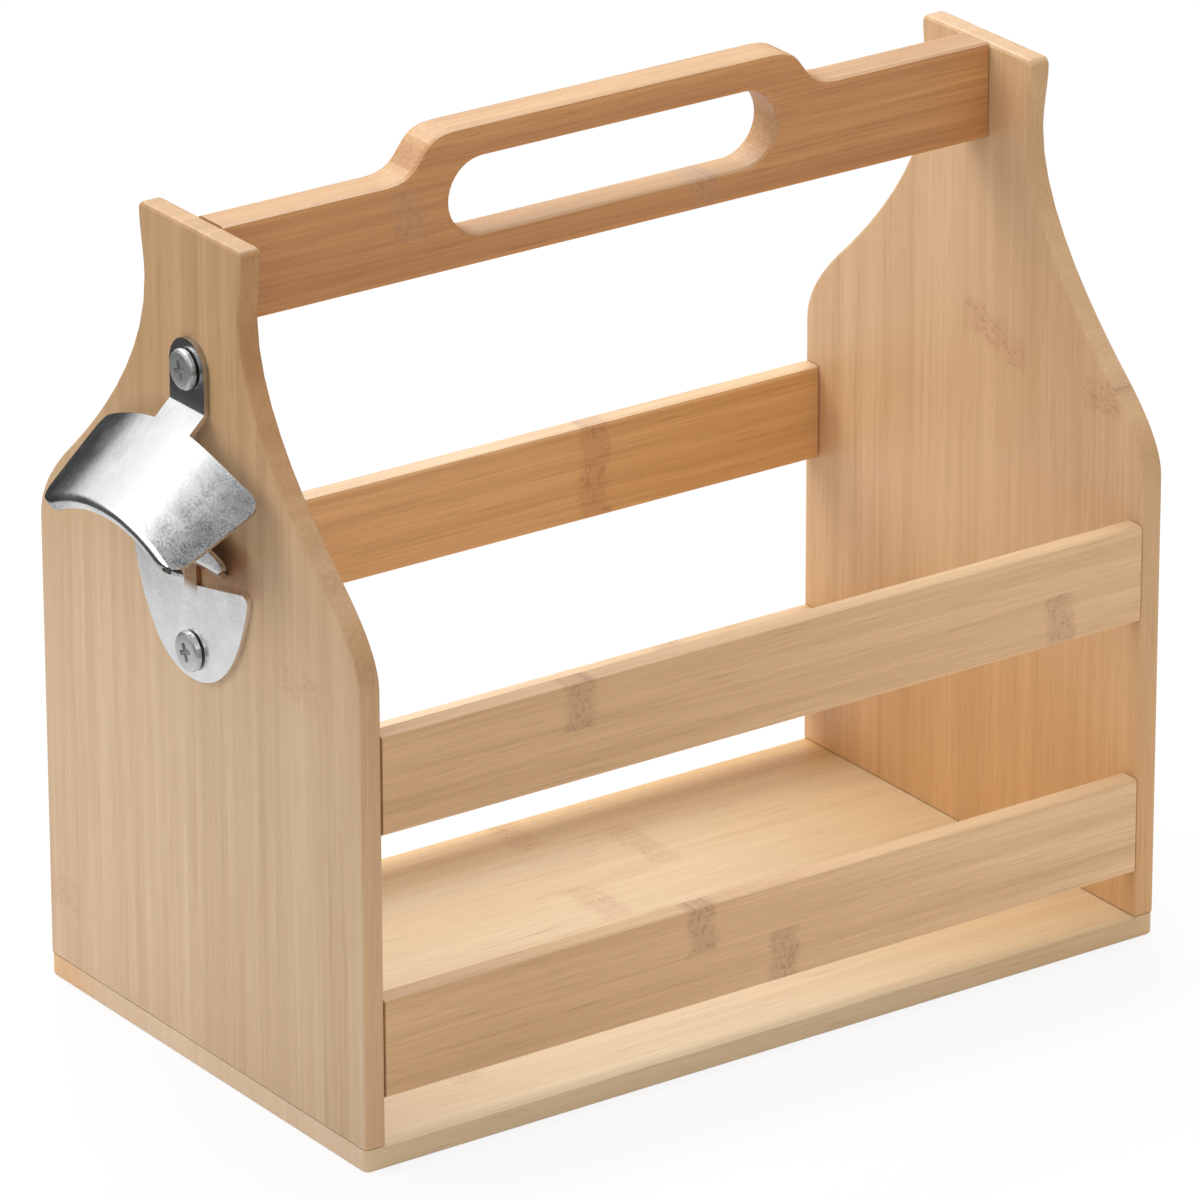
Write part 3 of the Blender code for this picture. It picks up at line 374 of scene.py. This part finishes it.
def steelMaterial(name, look):
    material, tree, shader = newMaterial(name)
    coordinates = addNode(tree, "ShaderNodeTexCoord").outputs["Object"]
    place = addNode(tree, "ShaderNodeSeparateXYZ", {0: coordinates}).outputs
    blotch = noise(tree, coordinates, steelGrain["blotchScale"], 3, 0.55)
    grit = noise(tree, coordinates, steelGrain["gritScale"], 3, 0.6)
    stretched = calc(tree, "MULTIPLY", place[1], steelGrain["scuffStretch"])
    scuff = noise(tree, joinXYZ(tree, place[0], stretched, place[2]), steelGrain["scuffScale"])
    shader.inputs["Metallic"].default_value = 1.0
    colour = mixColour(tree, remap(tree, blotch, *steelGrain["blotchRange"]), look["light"], look["dark"])
    if "speckle" in look:
        # the hood's flanks are speckled, and their darker colour is painted reflection of a dark room,
        # most on the rear flank;
        # the tab's darker colour and the tongue's lighter one are painted reflection, and the thin spine
        # between them is painted shade, brown like the shaded wood
        side = millimetres(tree, calc(tree, "ABSOLUTE", place[1]))
        height = millimetres(tree, place[2])
        flank = calc(tree, "MULTIPLY", remap(tree, side, *look["flank"], smooth=True),
                     remap(tree, height, *look["hoodHeight"]))
        grains = noise(tree, coordinates, look["grainScale"], 2, 0.6)
        patches = remap(tree, noise(tree, coordinates, look["patchScale"]), *look["patchRange"])
        speckle = calc(tree, "MULTIPLY", calc(tree, "MULTIPLY", flank, patches),
                       remap(tree, grains, *look["grainRange"], smooth=True))
        speckle = calc(tree, "MULTIPLY", speckle, remap(tree, height, *look["speckleFade"]))
        # painted reflection: the flanks are darkened, most on the rear flank and, on the front flank, more
        # lower down, standing in for the dark room they mirror
        rear = remap(tree, place[1], *look["rearPlace"], smooth=True)
        lower = remap(tree, height, *look["reflectionShadeFade"])
        lower = calc(tree, "MULTIPLY", lower, look["frontReflectionShade"])
        reflectionShadeShare = mixNumber(tree, rear, lower, look["rearReflectionShade"])
        paintedDarkReflection = calc(tree, "MULTIPLY", flank, reflectionShadeShare)
        colour = mixColour(tree, paintedDarkReflection, colour, look["paintedDarkReflection"])
        # painted reflection: the tab is darkened, standing in for the dark it mirrors
        tab = calc(tree, "MULTIPLY", remap(tree, height, *look["tabHeight"]),
                   mixNumber(tree, blotch, *look["tabReflectionShade"]))
        colour = mixColour(tree, tab, colour, look["paintedDarkReflection"])
        # painted reflection: the tongue is lightened
        colour = mixColour(tree, remap(tree, height, *look["tongueHeight"]), colour, look["tongue"])
        colour = mixColour(tree, speckle, colour, look["speckle"])
        # painted shade: the thin spine between tab and tongue is coloured brown, standing in for the
        # shaded wood it mirrors under the hood
        spineHeight = calc(tree, "MULTIPLY", remap(tree, height, *look["spineFoot"], smooth=True),
                           remap(tree, height, *look["spineTop"]))
        spine = calc(tree, "MULTIPLY", remap(tree, side, *look["spineSide"]), spineHeight)
        colour = mixColour(tree, spine, colour, look["paintedSpineShade"])
    connect(tree, colour, shader.inputs["Base Color"])
    rough = calc(tree, "ADD", look["roughness"], centred(tree, blotch, steelGrain["glossSwing"]))
    connect(tree, rough, shader.inputs["Roughness"])
    pits = calc(tree, "ADD", blotch, calc(tree, "MULTIPLY", grit, steelGrain["gritHeight"]))
    height = calc(tree, "ADD", pits, calc(tree, "MULTIPLY", scuff, steelGrain["scuffHeight"]))
    bump = addNode(tree, "ShaderNodeBump", {
        "Strength": look["bump"], "Distance": steelGrain["bumpDistance"], "Height": height})
    connect(tree, bump.outputs[0], shader.inputs["Normal"])
    return material


# heights and sides in millimetres, each from where a mark starts to where it is full
openerSteel = steelMaterial("openerSteel", {
    "light": (0.84, 0.84, 0.84), "dark": (0.70, 0.71, 0.72), "roughness": 0.24, "bump": 0.45,
    # the dark flank and tab colour and the tongue's lighter colour are painted reflection, the spine's
    # brown is painted shade; the speckle is the steel's grain
    "speckle": (0.28, 0.28, 0.29), "paintedDarkReflection": (0.36, 0.37, 0.38), "tongue": (0.92, 0.92, 0.92),
    "paintedSpineShade": (0.42, 0.25, 0.14), "flank": (15.0, 31.0), "hoodHeight": (160.0, 164.0),
    "grainScale": 1300.0, "grainRange": (0.44, 0.56), "patchScale": 330.0,
    "patchRange": (0.35, 0.6, 0.25, 1.0), "speckleFade": (194.0, 172.0, 0.45, 1.0),
    "rearPlace": (0.004, 0.016), "rearReflectionShade": 0.85, "frontReflectionShade": 0.5, "reflectionShadeFade": (190.0, 172.0, 0.25, 1.0),
    "tabHeight": (205.0, 208.0), "tabReflectionShade": (0.35, 1.0), "tongueHeight": (160.0, 157.0),
    "spineFoot": (149.0, 153.0), "spineTop": (162.0, 158.0), "spineSide": (3.6, 3.2)})
screwSteel = steelMaterial("screwSteel", {
    "light": (0.80, 0.80, 0.80), "dark": (0.66, 0.66, 0.66), "roughness": 0.42, "bump": 0.5})
for name in nodes:
    if "screw" in name:
        dress(name, screwSteel)


# the opener, pressed from one sheet; sizes in millimetres, heights from its screws
openerLook = {
    "sheet": 1.6, "gap": 0.05, "neckHalf": 8.8, "bendRadius": 1.2, "edgeRound": 0.35,
    "crestDrop": 9.9, "slope": 39.7, "archRadius": 66.0, "rootHalf": 41.9, "rimHalf": 34.8, "reach": 29.0,
    "notchReach": 6.8, "cornerReach": 3.5, "cornerRadius": 4.1, "frontLength": 4.5, "frontInset": 2.6,
    "rollRadius": 2.9, "rollAngle": 165.0, "rollReturn": 3.0,
    "tongueHalf": 29.0, "tongueCorner": 2.5, "cornerRise": 25.5, "dipRise": 20.2, "tipDrop": 8.5,
    "spineHalf": 3.0, "holeRadius": 2.1,
    "catchFootHalf": 17.0, "catchBendHalf": 21.5, "catchLipHalf": 24.5, "catchReach": 5.8,
    "catchFootRise": 26.8, "catchRise": 32.0, "catchLip": 2.7, "catchBend": 1.6, "catchSink": 0.5,
    "catchCorner": 1.1, "catchCornerShare": 0.93,
    # the tongue's side: how far the curve's two handles reach, as shares
    "tipShare": 0.52, "cheekShare": 0.165, "fallShare": 0.62,
    # counts, and the rows at which one bend of a sheet ends and the next starts
    "columns": 72, "neckShare": 1 / 3, "rows": 46, "neckRows": 14, "catchColumns": 60, "catchRows": 20,
    "holeSteps": 24, "tabSteps": 28, "sideSteps": 22, "cornerSteps": 6,
    "rimRow": 0.55, "returnRow": 0.94, "neckRow": 0.4, "flapRow": 0.5, "lipRow": 0.8,
    "mergeWithin": 0.02, "bevelAngle": 50.0, "bevelSteps": 3,
}
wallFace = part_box("left_gable")[0][0] * 1000.0
screwHeights = [sum(corner[2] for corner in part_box(name)) / 2 * 1000.0
                for name in ("opener_upper_screw", "opener_lower_screw")]


def onWall(out, y, z):
    return Vector((wallFace - out, y, z)) / 1000.0


def crestHeight(out):
    return screwHeights[0] - openerLook["crestDrop"] - out * math.tan(math.radians(openerLook["slope"]))


def hoodHalf(out):
    look = openerLook
    return look["rootHalf"] + out / look["reach"] * (look["rimHalf"] - look["rootHalf"])


def archDrop(y):
    # how far the arch has fallen from its crest
    radius = openerLook["archRadius"]
    return radius - math.sqrt(radius ** 2 - y ** 2)


def hoodPlace(out, share):
    # (out from the wall, y, height) on the hood's outer face
    look = openerLook
    corner = max(out - look["reach"] + look["frontLength"], 0.0) / look["frontLength"]
    y = share * (hoodHalf(out) - look["frontInset"] * corner ** 2 * share ** 6)
    return Vector((out, y, crestHeight(out) - archDrop(y)))


def hoodShare(column):
    # even columns over the neck, finer ones towards the side edges
    look = openerLook
    notch = look["neckHalf"] / hoodHalf(look["notchReach"])
    size = abs(column)
    if size <= look["neckShare"] + 1e-6:
        share = notch * size / look["neckShare"]
    else:
        past = (size - look["neckShare"]) / (1 - look["neckShare"])
        share = notch + (1 - notch) * math.sin(math.pi / 2 * past)
    return math.copysign(min(share, 1.0), column)


def hoodBack(share):
    # how far from the wall the hood's back edge is
    look = openerLook
    straight = look["notchReach"] - (look["notchReach"] - look["cornerReach"]) * share ** 4
    half = hoodHalf(look["cornerReach"] + look["cornerRadius"])
    past = max(abs(share) * half - half + look["cornerRadius"], 0.0)
    return straight + look["cornerRadius"] - math.sqrt(max(look["cornerRadius"] ** 2 - past ** 2, 0.0))


def hoodSheetPlace(column, row):
    # the rows cross the hood, go round the rolled rim and then back under it
    look = openerLook
    share = hoodShare(column)
    rim, rolled = look["rimRow"], look["returnRow"]
    if row < rim:
        back = hoodBack(share)
        return hoodPlace(back + (look["reach"] - back) * math.sin(math.pi / 2 * row / rim), share)
    here = hoodPlace(look["reach"], share)
    along = (here - hoodPlace(look["reach"] - 0.1, share)).normalized()
    across = hoodPlace(look["reach"], share + 0.01) - hoodPlace(look["reach"], share - 0.01)
    up = along.cross(across).normalized()
    turn = math.radians(look["rollAngle"]) * min((row - rim) / (rolled - rim), 1.0)
    radius = look["rollRadius"]
    place = here + along * radius * math.sin(turn) - up * radius * (1 - math.cos(turn))
    back = look["rollReturn"] * max(row - rolled, 0.0) / (1 - rolled)
    return place + back * (along * math.cos(turn) - up * math.sin(turn))


def neckPlace(column, row):
    # the first rows are the bend below the tab, the rest run out to the hood
    look = openerLook
    slope = math.radians(look["slope"])
    face = look["gap"] + look["sheet"]
    bend = math.pi / 2 - slope
    foot = crestHeight(face) + look["bendRadius"] * math.tan(bend / 2)
    share = hoodShare(column * look["neckShare"])
    edge = hoodPlace(hoodBack(share), share)
    turn = bend * min(row / look["neckRow"], 1.0)
    out = face + look["bendRadius"] * (1 - math.cos(turn))
    z = foot - look["bendRadius"] * math.sin(turn)
    part = max(row - look["neckRow"], 0.0) / (1 - look["neckRow"])
    out += (edge[0] - out) * part
    if part > 0:
        z = crestHeight(out) - (crestHeight(edge[0]) - edge[2]) * part
    return Vector((out, edge[1], z))


def addSheet(mesh, columns, rows, placeOf):
    # a grid laid over the shape that placeOf gives
    sheet = bmesh.ops.create_grid(mesh, x_segments=columns, y_segments=rows, size=1.0)["verts"]
    for vert in sheet:
        vert.co = onWall(*placeOf(vert.co.x, (vert.co.y + 1) / 2))


def ringOfEdges(mesh, places):
    verts = [mesh.verts.new(onWall(*place)) for place in places]
    return [mesh.edges.new(pair) for pair in zip(verts, verts[1:] + verts[:1])]


def screwHole(mesh, face, z):
    hole, steps = openerLook["holeRadius"], openerLook["holeSteps"]
    return ringOfEdges(mesh, [(face, hole * math.cos(turn), z + hole * math.sin(turn))
                              for turn in [math.tau * step / steps for step in range(steps)]])


def addTab(mesh, face, columns):
    look = openerLook
    bottom = [tuple(neckPlace(2 * step / columns - 1, 0.0)) for step in range(columns + 1)]
    arc = [(face, look["neckHalf"] * math.cos(turn), screwHeights[0] + look["neckHalf"] * math.sin(turn))
           for turn in [math.pi * step / look["tabSteps"] for step in range(look["tabSteps"] + 1)]]
    edges = ringOfEdges(mesh, bottom + arc) + screwHole(mesh, face, screwHeights[0])
    bmesh.ops.triangle_fill(mesh, use_beauty=True, edges=edges)


def tonguePlaces(face):
    # the tongue's outline from its tip up one side, over the spine, and down again
    look = openerLook
    base = screwHeights[1]
    half, corner = look["tongueHalf"], look["tongueCorner"]
    cheek = base + look["cornerRise"] - corner
    fall = cheek - base + look["tipDrop"]
    tip = base - look["tipDrop"]
    side = interpolate_bezier(Vector((0, tip)), Vector((look["tipShare"] * half, tip)),
                              Vector((half - look["cheekShare"] * half, cheek - look["fallShare"] * fall)),
                              Vector((half, cheek)), look["sideSteps"])
    places = [(point[0], point[1]) for point in side]
    steps = look["cornerSteps"]
    places += [(half - corner + corner * math.cos(turn), cheek + corner * math.sin(turn))
               for turn in [math.pi / 2 * step / steps for step in range(1, steps + 1)]]
    climb = (look["cornerRise"] - look["dipRise"]) / (half - corner)
    foot = neckPlace(0.0, 0.0)[2]
    spine = look["spineHalf"]
    places += [(spine, base + look["dipRise"] + climb * spine), (spine, foot)]
    right = [(face, point[0], point[1]) for point in places]
    return right + [(face, -y, z) for _, y, z in reversed(right[1:])]


def catchPlace(column, row):
    # a flap that leaves the spine, bends upright and ends in a short lip
    look = openerLook
    foot = look["gap"] + look["sheet"] - look["catchSink"]
    slope = math.atan2(look["catchReach"], look["catchRise"] - look["catchFootRise"])
    length = math.hypot(look["catchReach"], look["catchRise"] - look["catchFootRise"])
    radius = look["catchBend"]
    tangent = radius * math.tan(slope / 2)
    flap, lip = look["flapRow"], look["lipRow"]
    if row <= flap:
        run = (length - tangent) * row / flap
        out, rise = run * math.sin(slope), look["catchFootRise"] + run * math.cos(slope)
        half = look["catchFootHalf"] + (look["catchBendHalf"] - look["catchFootHalf"]) * row / flap
    else:
        turn = slope * min((row - flap) / (lip - flap), 1.0)
        past = (row - flap) / (1 - flap)
        half = look["catchBendHalf"] + (look["catchLipHalf"] - look["catchBendHalf"]) * past
        arch = archDrop(half) - archDrop(column * half)
        up = (look["catchLip"] + arch - tangent) * max(row - lip, 0.0) / (1 - lip)
        out = look["catchReach"] - radius * (1 - math.cos(slope - turn))
        rise = look["catchRise"] + tangent - radius * math.sin(slope - turn) + up
    corner = max(abs(column) - look["catchCornerShare"], 0.0) / (1 - look["catchCornerShare"])
    if row > lip:
        rise -= look["catchCorner"] * corner ** 2 * (row - lip) / (1 - lip)
    return Vector((foot + out, column * half, screwHeights[1] + rise))


def thicken(mesh, faces):
    # the sheet's outer face stays, and its wall side gets the thickness
    bmesh.ops.recalc_face_normals(mesh, faces=faces)
    flat = next(part for part in faces if abs(part.normal.x) > 0.999)
    if flat.normal.x > 0:
        bmesh.ops.reverse_faces(mesh, faces=faces)
    bmesh.ops.solidify(mesh, geom=faces, thickness=openerLook["sheet"] / 1000.0)


def makeOpener():
    look = openerLook
    face = look["gap"] + look["sheet"]
    neckColumns = round(look["columns"] * look["neckShare"])
    mesh = bmesh.new()
    addSheet(mesh, look["columns"], look["rows"], hoodSheetPlace)
    addSheet(mesh, neckColumns, look["neckRows"], neckPlace)
    addTab(mesh, face, neckColumns)
    bmesh.ops.remove_doubles(mesh, verts=mesh.verts, dist=look["mergeWithin"] / 1000.0)
    thicken(mesh, mesh.faces[:])
    tongue = ringOfEdges(mesh, tonguePlaces(face)) + screwHole(mesh, face, screwHeights[1])
    filled = bmesh.ops.triangle_fill(mesh, use_beauty=True, edges=tongue)["geom"]
    thicken(mesh, [part for part in filled if isinstance(part, bmesh.types.BMFace)])
    flap = bmesh.new()
    addSheet(flap, look["catchColumns"], look["catchRows"], catchPlace)
    thicken(flap, flap.faces[:])
    joined = bpy.data.meshes.new("catchFlap")
    flap.to_mesh(joined)
    flap.free()
    mesh.from_mesh(joined)
    bpy.data.meshes.remove(joined)
    bmesh.ops.recalc_face_normals(mesh, faces=mesh.faces)
    data = bpy.data.meshes.new("openerSheet")
    mesh.to_mesh(data)
    mesh.free()
    data.shade_smooth()
    opener = bpy.data.objects.new("openerSheet", data)
    bpy.context.scene.collection.objects.link(opener)
    bevel = opener.modifiers.new("roundedEdges", "BEVEL")
    bevel.width, bevel.segments = look["edgeRound"] / 1000.0, look["bevelSteps"]
    bevel.limit_method, bevel.angle_limit = "ANGLE", math.radians(look["bevelAngle"])
    bevel.harden_normals = True
    data.materials.append(openerSteel)
    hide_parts("bottle_opener")
    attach(opener, "root")
    print("opener made,", len(data.polygons), "faces")


makeOpener()
print("steel dressed")


stageLook = {
    "floorSize": 12.0, "floorDrop": 0.0001, "floorColour": (0.88, 0.88, 0.89), "floorRoughness": 0.9,
    "floorSpecular": 0.1, "lift": 0.86, "liftReach": (0.3, 0.9),
    "mirroredTable": (0.46, 0.54), "mirroredWhite": 0.80, "mirroredDark": 0.07, "mirroredCeiling": 0.2,
    "mirroredRise": (0.20, 0.36), "mirroredFall": (0.74, 0.86), "skyLight": 0.66,
}


def makeFloor():
    # white to the camera; what the steel mirrors is a white table with a dark room behind it
    mesh = bmesh.new()
    bmesh.ops.create_grid(mesh, x_segments=1, y_segments=1, size=stageLook["floorSize"] / 2)
    data = bpy.data.meshes.new("studioFloor")
    mesh.to_mesh(data)
    mesh.free()
    floor = bpy.data.objects.new("studioFloor", data)
    bpy.context.scene.collection.objects.link(floor)
    floor.location.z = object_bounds()[0][2] - stageLook["floorDrop"]
    material, tree, shader = newMaterial("studioFloor")
    shader.inputs["Base Color"].default_value = rgba(stageLook["floorColour"])
    shader.inputs["Roughness"].default_value = stageLook["floorRoughness"]
    shader.inputs["Specular IOR Level"].default_value = stageLook["floorSpecular"]
    path = addNode(tree, "ShaderNodeLightPath").outputs
    white = addNode(tree, "ShaderNodeEmission", {"Color": (1, 1, 1, 1), "Strength": 1.0})
    away = addNode(tree, "ShaderNodeVectorMath", {
        0: addNode(tree, "ShaderNodeTexCoord").outputs["Object"]}, operation="LENGTH").outputs["Value"]
    lift = remap(tree, away, *stageLook["liftReach"], stageLook["lift"], 1.0, smooth=True)
    seen = addNode(tree, "ShaderNodeMixShader", {
        0: calc(tree, "MULTIPLY", path["Is Camera Ray"], lift), 1: shader.outputs[0],
        2: white.outputs[0]})
    glow = remap(tree, away, *stageLook["mirroredTable"], stageLook["mirroredWhite"],
                 stageLook["mirroredDark"], smooth=True)
    mirrored = addNode(tree, "ShaderNodeEmission", {"Color": (1, 1, 1, 1), "Strength": glow})
    mix = addNode(tree, "ShaderNodeMixShader", {
        0: path["Is Glossy Ray"], 1: seen.outputs[0], 2: mirrored.outputs[0]})
    connect(tree, mix.outputs[0], tree.nodes["Material Output"].inputs["Surface"])
    data.materials.append(material)


def makeWorld():
    # even light; the steel mirrors a dark horizon, a white wall of light and a grey ceiling
    world = bpy.data.worlds.new("studioWorld")
    bpy.context.scene.world = world
    world.use_nodes = True
    tree = world.node_tree
    background = tree.nodes["Background"]
    background.inputs["Color"].default_value = (1, 1, 1, 1)
    path = addNode(tree, "ShaderNodeLightPath").outputs
    direction = addNode(tree, "ShaderNodeSeparateXYZ", {
        0: addNode(tree, "ShaderNodeTexCoord").outputs["Generated"]}).outputs
    dark, ceiling = stageLook["mirroredDark"], stageLook["mirroredCeiling"]
    rising = remap(tree, direction[2], *stageLook["mirroredRise"], dark, 1.0, smooth=True)
    falling = remap(tree, direction[2], *stageLook["mirroredFall"], 1.0, ceiling, smooth=True)
    mirrored = calc(tree, "MINIMUM", rising, falling)
    plain = calc(tree, "MAXIMUM", path["Is Camera Ray"], path["Is Transmission Ray"])
    strength = mixNumber(tree, path["Is Glossy Ray"], stageLook["skyLight"], mirrored)
    connect(tree, mixNumber(tree, plain, strength, 1.0), background.inputs["Strength"])


lampLook = {
    # place and aim in metres, size, watts
    "overheadSoftbox": ((0.1, 0.55, 1.35), (0.0, 0.0, 0.1), (1.3, 1.0), 19.0),
    "leftSoftbox": ((-1.15, 0.6, 0.85), (-0.1, 0.0, 0.15), (0.8, 0.8), 6.0),
}


def makeLamp(name, place, aim, size, power):
    data = bpy.data.lights.new(name, "AREA")
    data.shape = "RECTANGLE"
    data.size, data.size_y = size
    data.energy = power
    lamp = bpy.data.objects.new(name, data)
    lamp.location = place
    lamp.rotation_euler = (Vector(aim) - Vector(place)).to_track_quat("-Z", "Y").to_euler()
    bpy.context.scene.collection.objects.link(lamp)


def makeCamera():
    # the photograph's view: focal length, place and turn found from the boards' corners
    view = {"focal": 9522.18, "image": 1200, "turn": (1.8931, -0.6018, 0.3989),
            "shift": (0.0048, 0.3710, 10.0053), "unit": 0.280, "sensor": 36.0, "clipEnd": 50.0}
    turn = Vector(view["turn"])
    rotation = Matrix.Rotation(turn.length, 3, turn.normalized())
    place = -(rotation.transposed() @ (Vector(view["shift"]) * view["unit"]))
    flip = Matrix(((1, 0, 0), (0, -1, 0), (0, 0, -1)))
    data = bpy.data.cameras.new("photoCamera")
    data.sensor_width = view["sensor"]
    data.lens = view["focal"] * view["sensor"] / view["image"]
    data.clip_end = view["clipEnd"]
    camera = bpy.data.objects.new("photoCamera", data)
    camera.matrix_world = Matrix.Translation(place) @ (rotation.transposed() @ flip).to_4x4()
    bpy.context.scene.collection.objects.link(camera)
    bpy.context.scene.camera = camera


makeFloor()
makeWorld()
for name, lamp in lampLook.items():
    makeLamp(name, *lamp)
makeCamera()
bpy.context.scene.view_settings.view_transform = "Standard"
print("stage ready")
